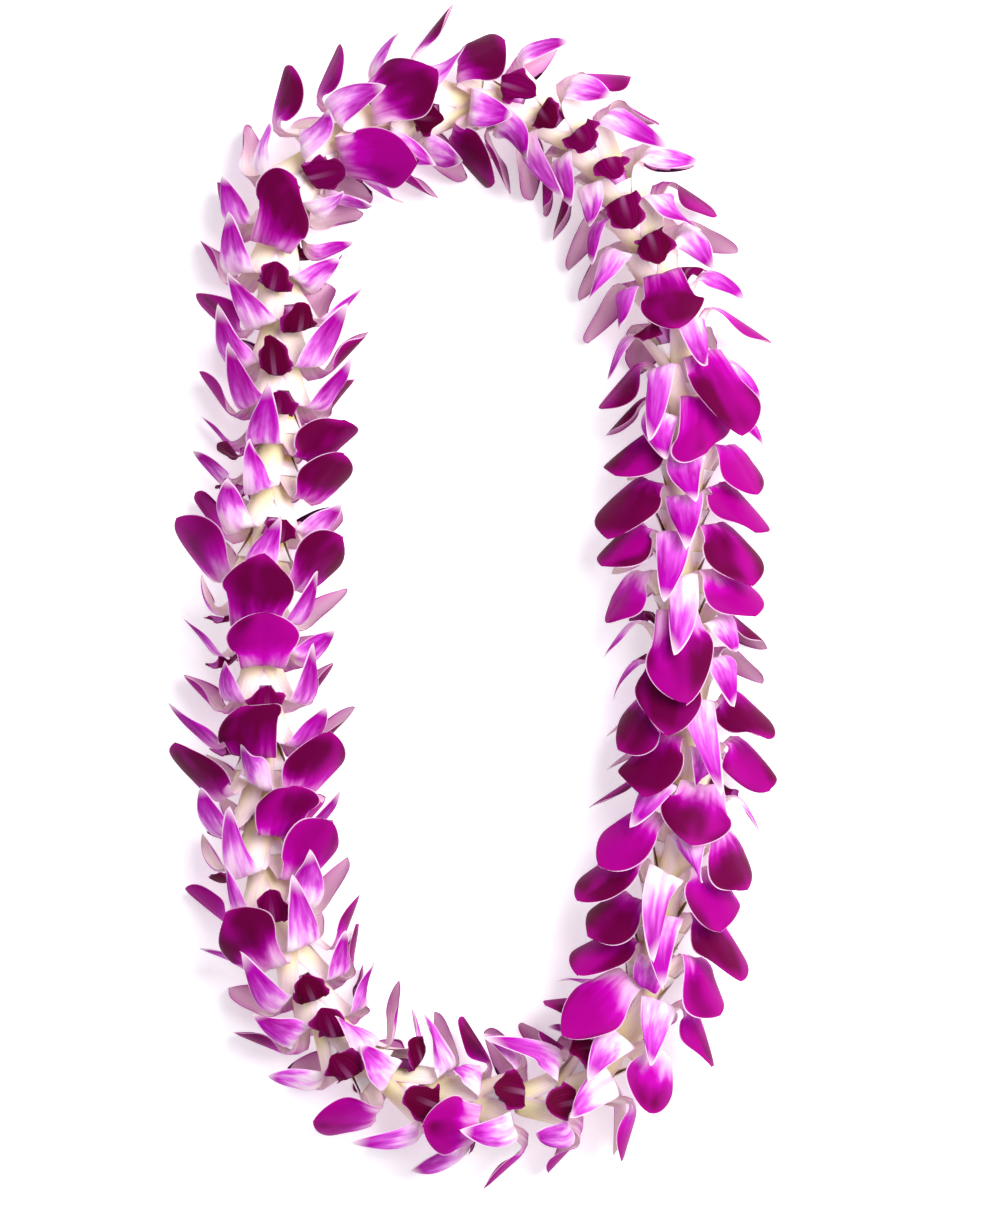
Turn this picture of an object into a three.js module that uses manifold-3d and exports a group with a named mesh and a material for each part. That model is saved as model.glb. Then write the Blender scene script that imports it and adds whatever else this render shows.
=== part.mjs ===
import * as THREE from 'three';
import { mergeVertices } from 'three/addons/utils/BufferGeometryUtils.js';
import Module from 'manifold-3d';

// A fresh flower lei: one closed strand of dendrobium orchid blossoms on a cotton thread, lying flat.
// Millimetres, +Z up. It rests on z = 0 with its long way along Y, and the origin is under its middle.
// Every blossom sits on one straight stretch of the thread and faces the way the strand runs, which is
// counter-clockwise seen from above. Near a blossom a place is given by three numbers: x along the way
// that it faces, y towards the inside of the loop, and z up from the thread.

const wasm = await Module();
wasm.setup();

// ---- The strand ----
const blossomCount = 58;
const threadHeight = 24;        // of the thread's middle above the table
const threadRadius = 0.6;
const threadSides = 6;
const knotSpace = 5;            // bare thread between the last blossom and the first, for the knot
const knot = {
  turns: [[-0.8, 0.34], [0.65, -0.26]],   // place along and tilt of each turn round the thread
  turnRadius: 1.2,
  turnThread: 0.7,
  turnSides: 6,
  turnSteps: 8,
  overlap: 1,                   // of the closing stretch with the thread at both ends
  closingShare: 0.96,           // of the thread's radius, on the closing stretch
  tailShare: 0.9,               // and on the tails
  tailPoints: [[0.3, 0, 1], [0.6, -0.5, 2.6], [0.9, -1, 4.2]],  // from the knot's middle
};
const strandCentre = [0.4, 1.6];    // of the loop's points below, so that the lei's box is centred
const loopPoints = [
  [12, -208], [42, -203], [62, -182], [74, -155], [81, -120], [90, -83], [90, -46],
  [87, -8], [87, 31], [90, 69], [85, 106], [75, 142], [60, 175], [34, 201],
  [-1, 207], [-35, 200], [-66, 183], [-81, 150], [-79, 112], [-81, 74], [-84, 36],
  [-88, -1], [-87, -39], [-87, -77], [-85, -116], [-72, -151], [-54, -184], [-20, -204],
];
const curveTension = 0.5;
const samplesPerSpan = 64;

// How far each blossom is turned on the thread, in degrees from dorsal sepal up towards the outside.
const rolls = [
  180, 140, -8, 15, 0, 4, -4, 3, -42, 15, 6, 46, 54, -3, -6, 4, -6, -40, -34, 150,
  -56, 180, 172, 188, 180, 172, 195, -10, 160, -42, 30, 150, 178, 52, 178, 150, 190, 170, -115, -120,
  165, 2, -60, -68, 170, -52, 2, -78, -115, 180, -25, 180, 170, 195, 120, 180, -40, 160,
];

// ---- One blossom ----
const cone = {                  // radius and place along of its rings, from the back to the column's end
  bore: 0.95,
  back: [1.9, -8.3],
  rim: [6.6, 1],
  throat: [3.2, 1.8],
  column: [1.5, 5],
};
const halfThickness = 0.6;      // of a blade at its middle
const spineSteps = 24;
const sideClearance = 1.4;      // kept from the surface halfway to the next blossom
const leastRoom = 2;            // to each side of the mean surface, where the strand turns sharply
const meanSurface = {           // of all blossoms: funnel, crest and how the rest falls back
  mouth: 5.6,
  slope: 2.1,
  crest: [17, 20],              // radius and place along, before rounding
  rounding: 9,
  fallBack: 1.05,
  laidBack: 1.3,                // more on the upper side
};

// A blade has its root's place along and radius, its length, its width at the base and in full, and its
// angles to the thread at the root and at the tip. Swell, taper and bend are shares of its length.
const broadPetal = {
  root: [-2, 4], length: 50, base: 8, full: 26.5, swell: [0.3, 0.7], taper: 0.7, tipPower: 2,
  tipRound: 0.62, lean: 28, tipTurn: 134, laidBack: 20, bend: [0.4, 0.62], cup: [0.13, -0.015], wave: 0.5,
  upwards: 24, layer: 2, rows: [0.24, 0.42, 0.53, 0.67, 0.85], across: 2,
};
const sepal = {
  root: [-4, 4.6], length: 45, base: 7, full: 14.5, swell: [0.2, 0.6], taper: 0.62, tipPower: 2,
  tipRound: 0.76, lean: 24, tipTurn: 136, laidBack: 20, bend: [0.4, 0.7], cup: [0.15, -0.05], wave: 0.2,
  upwards: 16, layer: -2, rows: [0.3, 0.54, 0.78], across: 2,
};
const lip = {
  root: [-0.5, 2.4], length: 34, base: 3.4, full: 18, swell: [0.36, 0.72], taper: 0.8, tipPower: 2.4,
  tipRound: 0.6, lean: 28, tipTurn: 92, laidBack: 10, bend: [0.44, 0.86], cup: [0.1, -0.02], wave: 1.5,
  upwards: 8, layer: 3.4, rows: [0.32, 0.6, 0.84], across: 4,
};
const petalAngle = 60;          // of each broad petal from the dorsal sepal, round the thread
const lateralAngle = 132;       // of each lateral sepal
const comesIn = { drift: [0.2, 0.8], twist: [0.15, 0.7], cup: [0.25, 0.7], wave: [0.4, 0.8] };
const waveTurns = [9, 3];       // radians of a rim's wave along the blade and across half of it
const spread = {                // between blades
  length: 0.07, bend: 0.04, width: 0.08, turn: 10, drift: 7, twist: 12, phase: 3, swing: 4,
};
const nodding = 14;             // degrees by which a blossom leans to one side
const settling = { height: 6, over: 10, forwards: 0.5 };  // how a blade levels out above the table
const pressStart = 1.6;         // height above the table at which a blade begins to flatten
const pressDepth = 0.15;        // by which the lowest faces are pressed level

const radians = THREE.MathUtils.degToRad;
const mix = (a, b, t) => a + (b - a) * t;
const ease = (a, b, t) => {
  const s = Math.min(1, Math.max(0, (t - a) / (b - a)));
  return s * s * (3 - 2 * s);
};

// A fixed draw between -1 and 1 for number n of blossom k, by the usual hash of a sine.
function draw(k, n) {
  const wild = Math.sin(k * 12.9898 + n * 78.233) * 43758.5453;
  return 2 * (wild - Math.floor(wild)) - 1;
}

// The thread's corners: each blossom has the straight stretch from one to the next.
function strandCorners() {
  const points = loopPoints.map(([x, y]) => new THREE.Vector3(
    x - strandCentre[0], y - strandCentre[1], threadHeight));
  const curve = new THREE.CatmullRomCurve3(points, true, 'catmullrom', curveTension);
  const samples = curve.getPoints(points.length * samplesPerSpan);
  const lengths = [0];
  for (let i = 1; i < samples.length; i++) {
    lengths.push(lengths[i - 1] + samples[i].distanceTo(samples[i - 1]));
  }
  const total = lengths[lengths.length - 1];
  const pitch = (total - knotSpace) / blossomCount;
  const corners = [];
  let i = 0;
  for (let k = 0; k <= blossomCount; k++) {
    const wanted = knotSpace / 2 + k * pitch;
    while (lengths[i + 1] < wanted) i++;
    const t = (wanted - lengths[i]) / (lengths[i + 1] - lengths[i]);
    corners.push(samples[i].clone().lerp(samples[i + 1], t));
  }
  return corners;
}

// Where a blossom sits: its middle, the way it faces, inwards, and the strand's turn at both ends.
function stationAt(corners, k) {
  const direction = (j) => {
    const i = (j + blossomCount) % blossomCount;
    return corners[i + 1].clone().sub(corners[i]).normalize();
  };
  const along = direction(k);
  const turnTo = (other) => Math.asin(along.x * other.y - along.y * other.x);
  return {
    middle: corners[k].clone().add(corners[k + 1]).multiplyScalar(0.5),
    pitch: corners[k].distanceTo(corners[k + 1]),
    along,
    inwards: new THREE.Vector3(-along.y, along.x, 0),
    turnAhead: turnTo(direction(k + 1)),
    turnBehind: -turnTo(direction(k - 1)),
  };
}

// Keeps a point between the surfaces halfway to the blossoms ahead and behind, where all blossoms have
// the same mean surface. Broad petals and the lip lie in front of it, and sepals behind.
function keepApart(point, layer, station) {
  const radius = Math.hypot(point.y, point.z);
  const rise = Math.max(0, point.z / radius);
  const hollow = meanSurface.slope * (radius - meanSurface.mouth);
  const fall = meanSurface.fallBack + meanSurface.laidBack * rise * rise;
  const brim = meanSurface.crest[1] + fall * (meanSurface.crest[0] - radius);
  const mean = 0.5 * (hollow + brim - Math.hypot(hollow - brim, meanSurface.rounding));
  const offset = point.x - mean + layer;
  const turn = offset > 0 ? station.turnAhead : station.turnBehind;
  const room = Math.max(leastRoom, (station.pitch - turn * point.y) / 2 - sideClearance);
  point.x = mean + room * Math.tanh(offset / room);
}

// Presses what would sink into the table flat on it.
function softFloor(height) {
  return height > pressStart ? height : pressStart * Math.exp((height - pressStart) / pressStart);
}

// The width of a blade at u, from 0 at its root to 1 at its tip.
function widthAt(shape, u) {
  const swollen = mix(shape.base, shape.full, ease(shape.swell[0], shape.swell[1], u));
  if (u <= shape.taper) return swollen;
  const t = (u - shape.taper) / (1 - shape.taper);
  return swollen * Math.pow(1 - Math.pow(t, shape.tipPower), shape.tipRound);
}

// The middle line of a blade: points with their forward direction and width direction.
function bladeSpine(shape, angle, change) {
  const outwards = new THREE.Vector3(0, -Math.sin(angle), Math.cos(angle));
  const sideways = new THREE.Vector3(0, -Math.cos(angle), -Math.sin(angle));
  const facingUp = Math.max(0, Math.cos(angle));
  const tipTurn = shape.tipTurn + shape.laidBack * facingUp * facingUp + change.turn;
  const step = shape.length * change.length / spineSteps;
  const point = new THREE.Vector3(shape.root[0], 0, 0).addScaledVector(outwards, shape.root[1]);
  const spine = [];
  for (let i = 0; i <= spineSteps; i++) {
    const u = i / spineSteps;
    const turn = radians(mix(shape.lean, tipTurn, ease(...shape.bend, u - change.bend)));
    const drift = radians(change.drift) * ease(...comesIn.drift, u);
    const forward = new THREE.Vector3(Math.cos(turn), 0, 0).addScaledVector(outwards, Math.sin(turn));
    forward.multiplyScalar(Math.cos(drift)).addScaledVector(sideways, Math.sin(drift));
    const height = threadHeight + point.z;
    const steepest = -Math.max(0, (height + settling.height) / settling.over);
    if (forward.z < steepest) {
      const level = forward.x - settling.forwards * (steepest - forward.z);
      const flat = new THREE.Vector3(level, forward.y, 0).normalize();
      forward.copy(flat.multiplyScalar(Math.sqrt(1 - steepest * steepest)));
      forward.z = steepest;
    }
    const width = sideways.clone().addScaledVector(forward, -sideways.dot(forward)).normalize();
    const twist = radians(change.twist + shape.upwards * Math.sin(angle)) * ease(...comesIn.twist, u);
    const face = forward.clone().cross(width);
    width.multiplyScalar(Math.cos(twist)).addScaledVector(face, Math.sin(twist));
    spine.push({ point: point.clone(), forward, width, face: forward.clone().cross(width) });
    point.addScaledVector(forward, step);
  }
  return spine;
}

// A point of a blade's middle surface, at u along it and v across it from -1 to 1.
function bladePoint(shape, spine, change, station, u, v) {
  const place = Math.min(spineSteps - 1e-6, u * spineSteps);
  const i = Math.floor(place);
  const t = place - i;
  const blend = (name) => spine[i][name].clone().lerp(spine[i + 1][name], t);
  const x = 0.5 * v * widthAt(shape, u) * change.width;
  const cup = mix(shape.cup[0], shape.cup[1], ease(...comesIn.cup, u)) * x * x / 2;
  const ripple = Math.sin(waveTurns[0] * u + waveTurns[1] * v + change.phase);
  const wave = shape.wave * v * v * ease(...comesIn.wave, u) * ripple;
  const point = blend('point').addScaledVector(blend('width'), x);
  point.addScaledVector(blend('face'), cup + wave);
  keepApart(point, shape.layer, station);
  point.z = softFloor(threadHeight + point.z) - threadHeight;
  return point;
}

// Joins two closed loops of different lengths. Each loop entry is [point number, share of the way round].
function bridge(inner, outer, triangles) {
  let i = 0;
  let j = 0;
  const at = (loop, n) => loop[n % loop.length][0];
  const share = (loop, n) => loop[n % loop.length][1] + Math.floor(n / loop.length);
  while (i < inner.length || j < outer.length) {
    if (j >= outer.length || (i < inner.length && share(inner, i + 1) < share(outer, j + 1))) {
      triangles.push([at(inner, i), at(inner, i + 1), at(outer, j)]);
      i++;
    } else {
      triangles.push([at(inner, i), at(outer, j + 1), at(outer, j)]);
      j++;
    }
  }
}

// Grows a blade out of its socket, a four-sided hole in the cone between two rings. The blade is two
// sheets with the same triangles, joined along their rim, and it ends in one tip point.
function growBlade(shape, angle, change, station, socket, points, triangles) {
  const spine = bladeSpine(shape, angle, change);
  const { rows, across } = shape;
  const middle = rows.map((u) => {
    const row = [];
    for (let j = 0; j <= across; j++) {
      row.push(bladePoint(shape, spine, change, station, u, 2 * j / across - 1));
    }
    return row;
  });
  const tip = bladePoint(shape, spine, change, station, 1, 0);
  const root = spine[0].point;
  const rowAt = (i, j) => {
    if (i < 0) return root;
    return i === rows.length ? tip : middle[i][j];
  };
  const front = [];
  const rear = [];
  middle.forEach((row, i) => {
    front.push([]);
    rear.push([]);
    row.forEach((place, j) => {
      const lengthways = rowAt(i + 1, j).clone().sub(rowAt(i - 1, j));
      const sideways = row[Math.min(across, j + 1)].clone().sub(row[Math.max(0, j - 1)]);
      const face = lengthways.cross(sideways).normalize().multiplyScalar(halfThickness);
      const onRim = j === 0 || j === across;
      front[i].push(points.length);
      points.push(onRim ? place.clone() : place.clone().add(face));
      rear[i].push(onRim ? front[i][j] : points.length);
      if (!onRim) points.push(place.clone().sub(face));
    });
  });
  const tipNumber = points.length;
  points.push(tip);
  const loop = [];
  for (let j = 0; j <= across; j++) loop.push([front[0][j], 0.5 * j / across]);
  for (let j = across - 1; j > 0; j--) loop.push([rear[0][j], 1 - 0.5 * j / across]);
  bridge(socket.map((number, n) => [number, (n - 0.5) / socket.length]), loop, triangles);
  for (const sheet of [front, rear]) {
    const put = (a, b, c) => triangles.push(sheet === front ? [a, c, b] : [a, b, c]);
    for (let j = 0; j < across; j++) {
      for (let i = 0; i < rows.length - 1; i++) {
        const corner = [sheet[i][j], sheet[i + 1][j], sheet[i + 1][j + 1], sheet[i][j + 1]];
        const first = j < across / 2 ? 0 : 1;
        put(corner[first], corner[first + 1], corner[first + 2]);
        put(corner[first], corner[first + 2], corner[(first + 3) % 4]);
      }
      put(sheet[rows.length - 1][j], tipNumber, sheet[rows.length - 1][j + 1]);
    }
  }
}

// The fixed small differences of blade n of blossom k, which stands at the given angle.
function changeOf(k, n, angle) {
  const nod = nodding * draw(k, 80) * Math.cos(angle - Math.PI * draw(k, 81));
  return {
    length: 1 + spread.length * draw(k, n),
    width: 1 + spread.width * draw(k, n + 10),
    turn: nod + spread.turn * draw(k, n + 20),
    bend: spread.bend * draw(k, n + 90),
    drift: spread.drift * draw(k, n + 30),
    twist: spread.twist * draw(k, n + 40),
    phase: spread.phase * draw(k, n + 50),
  };
}

// A blossom as one closed surface: the bored cone and column, with six blades grown out of its rim.
function blossomGeometry(k, station) {
  const roll = rolls[k];
  const blades = [
    [sepal, 0],
    [broadPetal, petalAngle],
    [sepal, lateralAngle],
    [lip, 180],
    [sepal, 360 - lateralAngle],
    [broadPetal, 360 - petalAngle],
  ];
  const points = [];
  const triangles = [];
  const count = blades.length;
  const ring = ([radius, along]) => blades.map(([, angle], n) => {
    const before = n === 0 ? blades[count - 1][1] - 360 : blades[n - 1][1];
    const between = radians(roll + (angle + before) / 2);
    points.push(new THREE.Vector3(along, -radius * Math.sin(between), radius * Math.cos(between)));
    return points.length - 1;
  });
  const [boreBack, back, rim, throat, column, boreFront] = [
    [cone.bore, cone.back[1]], cone.back, cone.rim, cone.throat, cone.column, [cone.bore, cone.column[1]],
  ].map(ring);
  for (const [one, other] of [
    [boreBack, back], [back, rim], [throat, column], [column, boreFront], [boreFront, boreBack],
  ]) {
    for (let n = 0; n < count; n++) {
      const next = (n + 1) % count;
      triangles.push([one[n], other[n], other[next]], [one[n], other[next], one[next]]);
    }
  }
  blades.forEach(([shape, angle], n) => {
    const next = (n + 1) % count;
    const socket = [rim[n], throat[n], throat[next], rim[next]];
    const turned = radians(roll + angle + spread.swing * draw(k, n + 100));
    growBlade(shape, turned, changeOf(k, n, turned), station, socket, points, triangles);
  });
  for (const point of points) point.z = Math.max(-threadHeight, point.z - pressDepth);
  const geometry = new THREE.BufferGeometry().setFromPoints(points);
  geometry.setIndex(triangles.flatMap(([a, b, c]) => [a, c, b]));
  geometry.computeVertexNormals();
  return geometry;
}

// The thread's line, straight from corner to corner.
class ThreadLine extends THREE.Curve {
  constructor(points) {
    super();
    this.points = points;
  }
  getPoint(t, target = new THREE.Vector3()) {
    const spans = this.points.length - 1;
    const place = Math.min(spans - 1e-9, Math.max(0, t * spans));
    const i = Math.floor(place);
    return target.copy(this.points[i]).lerp(this.points[i + 1], place - i);
  }
  getPointAt(u, target) {
    return this.getPoint(u, target);
  }
  getTangentAt(u, target = new THREE.Vector3()) {
    const reach = 0.25 / (this.points.length - 1);
    return target.copy(this.getPoint(u + reach)).sub(this.getPoint(u - reach)).normalize();
  }
}

const tube = (points, radius) => {
  const section = new THREE.Shape();
  for (let i = 0; i < threadSides; i++) {
    const angle = 2 * Math.PI * i / threadSides;
    const [x, y] = [radius * Math.cos(angle), radius * Math.sin(angle)];
    if (i === 0) section.moveTo(x, y);
    else section.lineTo(x, y);
  }
  section.closePath();
  return new THREE.ExtrudeGeometry(section, {
    steps: points.length - 1, extrudePath: new ThreadLine(points), bevelEnabled: false,
  });
};

function solidOf(geometry) {
  const bare = geometry.clone();
  bare.deleteAttribute('normal');
  bare.deleteAttribute('uv');
  const merged = mergeVertices(bare, 1e-4);
  const mesh = new wasm.Mesh({
    numProp: 3,
    vertProperties: merged.attributes.position.array,
    triVerts: Uint32Array.from(merged.index.array),
  });
  return new wasm.Manifold(mesh);
}

function toGeometry(joined) {
  const mesh = joined.getMesh();
  const geometry = new THREE.BufferGeometry();
  geometry.setAttribute('position', new THREE.Float32BufferAttribute(mesh.vertProperties, mesh.numProp));
  geometry.setIndex(Array.from(mesh.triVerts));
  geometry.computeVertexNormals();
  return geometry;
}

// The thread: the strand's line, closed by a round knot with two short tails.
function threadGeometry(corners) {
  const line = tube(corners, threadRadius);
  const [end, start] = [corners[blossomCount], corners[0]];
  const run = start.clone().sub(end).normalize();
  const middle = end.clone().add(start).multiplyScalar(0.5);
  const closingEnds = [
    end.clone().addScaledVector(run, -knot.overlap),
    start.clone().addScaledVector(run, knot.overlap),
  ];
  const closing = tube(closingEnds, threadRadius * knot.closingShare);
  let joined = solidOf(line).add(solidOf(closing));
  for (const [offset, tilt] of knot.turns) {
    const wrap = new THREE.TorusGeometry(
      knot.turnRadius, knot.turnThread, knot.turnSides, knot.turnSteps);
    wrap.rotateY(Math.PI / 2 + tilt);
    wrap.applyMatrix4(new THREE.Matrix4().makeRotationZ(Math.atan2(run.y, run.x)));
    wrap.translate(...middle.clone().addScaledVector(run, offset).toArray());
    joined = joined.add(solidOf(wrap));
  }
  for (const side of [-1, 1]) {
    const points = knot.tailPoints.map(([x, y, z]) => middle.clone()
      .addScaledVector(run, side * x).add(new THREE.Vector3(0, y, z)));
    joined = joined.add(solidOf(tube(points, threadRadius * knot.tailShare)));
  }
  return toGeometry(joined);
}

const corners = strandCorners();
const lei = new THREE.Group();

for (let k = 0; k < blossomCount; k++) {
  const station = stationAt(corners, k);
  const blossom = new THREE.Mesh(blossomGeometry(k, station), new THREE.MeshStandardMaterial({
    color: 0xa4107e, roughness: 0.55, metalness: 0,
  }));
  blossom.name = `blossom_${String(k + 1).padStart(2, '0')}`;
  blossom.position.copy(station.middle);
  blossom.quaternion.setFromRotationMatrix(new THREE.Matrix4().makeBasis(
    station.along, station.inwards, new THREE.Vector3(0, 0, 1)));
  lei.add(blossom);
}

const thread = new THREE.Mesh(threadGeometry(corners), new THREE.MeshStandardMaterial({
  color: 0xf4f0e6, roughness: 0.9, metalness: 0,
}));
thread.name = 'thread';
lei.add(thread);

export default lei;
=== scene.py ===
import math

import bpy
import numpy as np
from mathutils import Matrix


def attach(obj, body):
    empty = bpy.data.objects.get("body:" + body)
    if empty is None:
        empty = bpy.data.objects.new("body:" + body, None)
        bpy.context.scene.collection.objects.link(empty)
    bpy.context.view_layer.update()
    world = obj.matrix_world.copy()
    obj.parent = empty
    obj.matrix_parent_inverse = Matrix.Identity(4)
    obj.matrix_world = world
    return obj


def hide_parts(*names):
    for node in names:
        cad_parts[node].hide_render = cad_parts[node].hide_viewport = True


# A fresh flower lei of dendrobium orchids. The strand is worked out in millimetres, as in the part's source,
# and every mesh is written in metres. Near a blossom x is the way that it faces, y is towards the inside of
# the loop and z is up from the thread.

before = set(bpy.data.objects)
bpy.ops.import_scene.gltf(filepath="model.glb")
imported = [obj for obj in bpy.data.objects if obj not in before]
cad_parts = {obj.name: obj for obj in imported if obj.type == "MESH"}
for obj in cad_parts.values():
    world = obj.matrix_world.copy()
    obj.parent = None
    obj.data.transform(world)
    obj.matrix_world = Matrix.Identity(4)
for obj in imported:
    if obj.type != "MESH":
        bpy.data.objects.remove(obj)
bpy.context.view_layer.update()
bodyName = "root"
millimetre = 0.001
upwards = np.array([0, 0, 1.0])


def ease(start, end, t):      # 0 before start, 1 after end
    s = np.clip((t - start) / (end - start), 0, 1)
    return s * s * (3 - 2 * s)


def riseAndFall(span, t):     # comes in between the first two places and goes between the last two
    return ease(span[0], span[1], t) * (1 - ease(span[2], span[3], t))


def mix(a, b, t):
    return a + (b - a) * t


def unit(vector):
    return vector / np.linalg.norm(vector)


strand = {
    "blossomCount": 58,
    "threadHeight": 24,       # of the thread's middle above the table
    "knotSpace": 5,           # bare thread between the last blossom and the first
    "centre": [0.4, 1.6],
    "loopPoints": [
        [12, -208], [42, -203], [62, -182], [74, -155], [81, -120], [90, -83], [90, -46],
        [87, -8], [87, 31], [90, 69], [85, 106], [75, 142], [60, 175], [34, 201],
        [-1, 207], [-35, 200], [-66, 183], [-81, 150], [-79, 112], [-81, 74], [-84, 36],
        [-88, -1], [-87, -39], [-87, -77], [-85, -116], [-72, -151], [-54, -184], [-20, -204],
    ],
    "tension": 0.5,
    "samplesPerSpan": 64,
}


def loopSpan(points, i, t):   # the smooth line from point i to the next one
    before, p, q, after = [points[(i + step) % len(points)] for step in (-1, 0, 1, 2)]
    slopeIn = strand["tension"] * (q - before)
    slopeOut = strand["tension"] * (after - p)
    square = 3 * (q - p) - 2 * slopeIn - slopeOut
    cube = 2 * (p - q) + slopeIn + slopeOut
    return p + slopeIn * t + square * t**2 + cube * t**3


def strandCorners():          # where one blossom ends on the thread and the next begins
    points = np.array(strand["loopPoints"], float) - strand["centre"]
    t = (np.arange(strand["samplesPerSpan"]) / strand["samplesPerSpan"])[:, None]
    line = np.vstack([loopSpan(points, i, t) for i in range(len(points))] + [points[:1]])
    lengths = np.concatenate([[0], np.cumsum(np.linalg.norm(np.diff(line, axis=0), axis=1))])
    pitch = (lengths[-1] - strand["knotSpace"]) / strand["blossomCount"]
    wanted = strand["knotSpace"] / 2 + pitch * np.arange(strand["blossomCount"] + 1)
    x, y = [np.interp(wanted, lengths, line[:, axis]) for axis in (0, 1)]
    return np.stack([x, y, np.full(len(wanted), float(strand["threadHeight"]))], 1)


def stationAt(corners, k):    # a blossom's place, and how far the strand turns at its two ends
    count = strand["blossomCount"]

    def direction(j):
        return unit(corners[j % count + 1] - corners[j % count])

    def turnBetween(a, b):
        return math.asin(a[0] * b[1] - a[1] * b[0])

    along = direction(k)
    return {
        "middle": (corners[k] + corners[k + 1]) / 2,
        "pitch": np.linalg.norm(corners[k + 1] - corners[k]),
        "along": along,
        "inwards": np.array([-along[1], along[0], 0]),
        "turnAhead": turnBetween(along, direction(k + 1)),
        "turnBehind": turnBetween(direction(k - 1), along),
    }


spacing = {
    "sideClearance": 1.2,     # kept from the surface halfway to the next blossom
    "bendClearance": 13,      # more of it where the strand bends
    "leastRoom": 1,
    "mouth": 5.6,             # the mean blossom's surface: its funnel, its crest and how it falls back
    "funnelSlope": 2.1,
    "crest": [17, 20],        # radius and place along
    "fallBack": 1.05,
    "laidBack": 1.3,          # more on the upper side
    "rounding": 9,
}


def keepApart(points, layer, station):    # stays between the surfaces halfway to the neighbours
    radius = np.hypot(points[..., 1], points[..., 2])
    rise = np.maximum(0, points[..., 2] / np.maximum(radius, 1e-6))
    hollow = spacing["funnelSlope"] * (radius - spacing["mouth"])
    fall = spacing["fallBack"] + spacing["laidBack"] * rise * rise
    brim = spacing["crest"][1] + fall * (spacing["crest"][0] - radius)
    mean = 0.5 * (hollow + brim - np.hypot(hollow - brim, spacing["rounding"]))
    offset = points[..., 0] - mean + layer
    turn = np.where(offset > 0, station["turnAhead"], station["turnBehind"])
    clearance = spacing["sideClearance"] + spacing["bendClearance"] * turn * turn
    room = np.maximum(spacing["leastRoom"], (station["pitch"] - turn * points[..., 1]) / 2 - clearance)
    points[..., 0] = mean + room * np.tanh(offset / room)


resting = {                   # on the table
    "pressStart": 1.6,        # height at which a blade begins to flatten
    "pressDepth": 0.15,       # how far all of it is then lowered
    "settleHeight": 6,        # the nearer the table, the more level a blade runs
    "settleOver": 10,
    "settleForwards": 0.5,
}


def softFloor(height):        # squeezes what is low or below the table into the last bit above it
    start = resting["pressStart"]
    pressed = start * np.exp(np.minimum(0, height - start) / start)
    return np.where(height > start, height, pressed)


def settle(forward, height):  # turns a blade's direction towards level as it nears the table
    steepest = -max(0, (height + resting["settleHeight"]) / resting["settleOver"])
    if forward[2] >= steepest:
        return forward
    level = forward[0] - resting["settleForwards"] * (steepest - forward[2])
    flat = unit(np.array([level, forward[1], 0])) * math.sqrt(1 - steepest * steepest)
    flat[2] = steepest
    return flat


# A blade's form, in millimetres and degrees. Its root has a place along the thread and one out from it. Its
# width goes from base to full over the swell, and tapers to the tip. It leaves the thread at an angle of
# lean and reaches tipTurn over the bend, with laidBack more on top. The cup is the hollow across it, at the
# root and at the tip. A blade at the side turns its face up by faceUp. The kind is the number of its finish.
petalForm = {
    "kind": 0, "root": [-2, 4], "length": 52.4, "base": 14.6, "full": 29, "swell": [0.34, 0.78],
    "taper": 0.72, "tipPower": 2, "tipRound": 0.62, "lean": 28, "tipTurn": 134, "laidBack": 20,
    "bend": [0.4, 0.62], "cup": [0.11, -0.015], "wave": 0.5, "faceUp": 24, "tipTwist": 18,
    "layer": 2, "rowCount": 30, "columnCount": 16, "flesh": 1.0,
}
sepalForm = {
    "kind": 1, "root": [-4, 4.6], "length": 49, "base": 12.8, "full": 15.4, "swell": [0.2, 0.6],
    "taper": 0.52, "tipPower": 2.3, "tipRound": 0.74, "lean": 24, "tipTurn": 136, "laidBack": 20,
    "bend": [0.4, 0.7], "cup": [0.13, -0.05], "wave": 0.2, "faceUp": 16, "tipTwist": 42,
    "layer": -2, "rowCount": 28, "columnCount": 10, "flesh": 1.0,
}
lipForm = {
    "kind": 2, "root": [-0.5, 2.4], "length": 32.5, "base": 5, "full": 14.6, "swell": [0.36, 0.72],
    "taper": 0.78, "tipPower": 2.4, "tipRound": 0.5, "lean": 28, "tipTurn": 92, "laidBack": 10,
    "bend": [0.44, 0.86], "cup": [0.1, -0.05], "wave": 1.5, "faceUp": 8, "tipTwist": 38,
    "layer": 3.4, "rowCount": 30, "columnCount": 22, "flesh": 0.8,
}
bladeForms = [                # each with its angle round the blossom, in degrees from the dorsal sepal
    (sepalForm, 0), (petalForm, 60), (sepalForm, 132), (lipForm, 180), (sepalForm, 228), (petalForm, 300),
]


def widthAt(form, u):
    swollen = mix(form["base"], form["full"], ease(*form["swell"], u))
    t = np.clip((u - form["taper"]) / (1 - form["taper"]), 0, 1)
    return swollen * (1 - t ** form["tipPower"]) ** form["tipRound"]


spread = {                    # by how much blades differ, as shares or in degrees
    "length": 0.07,
    "width": 0.08,
    "bend": 0.04,
    "turn": 11,
    "drift": 10,
    "twist": 17,
    "phase": 3,               # of the waves, in radians
    "swing": 4,               # round the thread
    "nod": 14,                # of a whole blossom to one side
}
drawNumber = {                # which draw each difference takes; one of a blade adds the blade's own number
    "length": 0, "width": 10, "turn": 20, "drift": 30, "twist": 40, "phase": 50, "tone": 60, "heartTone": 70,
    "nod": 80, "nodWay": 81, "bend": 90, "swing": 100, "pale": 110, "curlAcross": 120, "curlBack": 130,
    "tipTwist": 140,
}


def draw(k, n):               # a fixed number between -1 and 1
    wild = math.sin(k * 12.9898 + n * 78.233) * 43758.5453
    return 2 * (wild - math.floor(wild)) - 1


def drawTone(k, n):           # between 0 and 1
    return 0.5 + 0.5 * draw(k, n)


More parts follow.
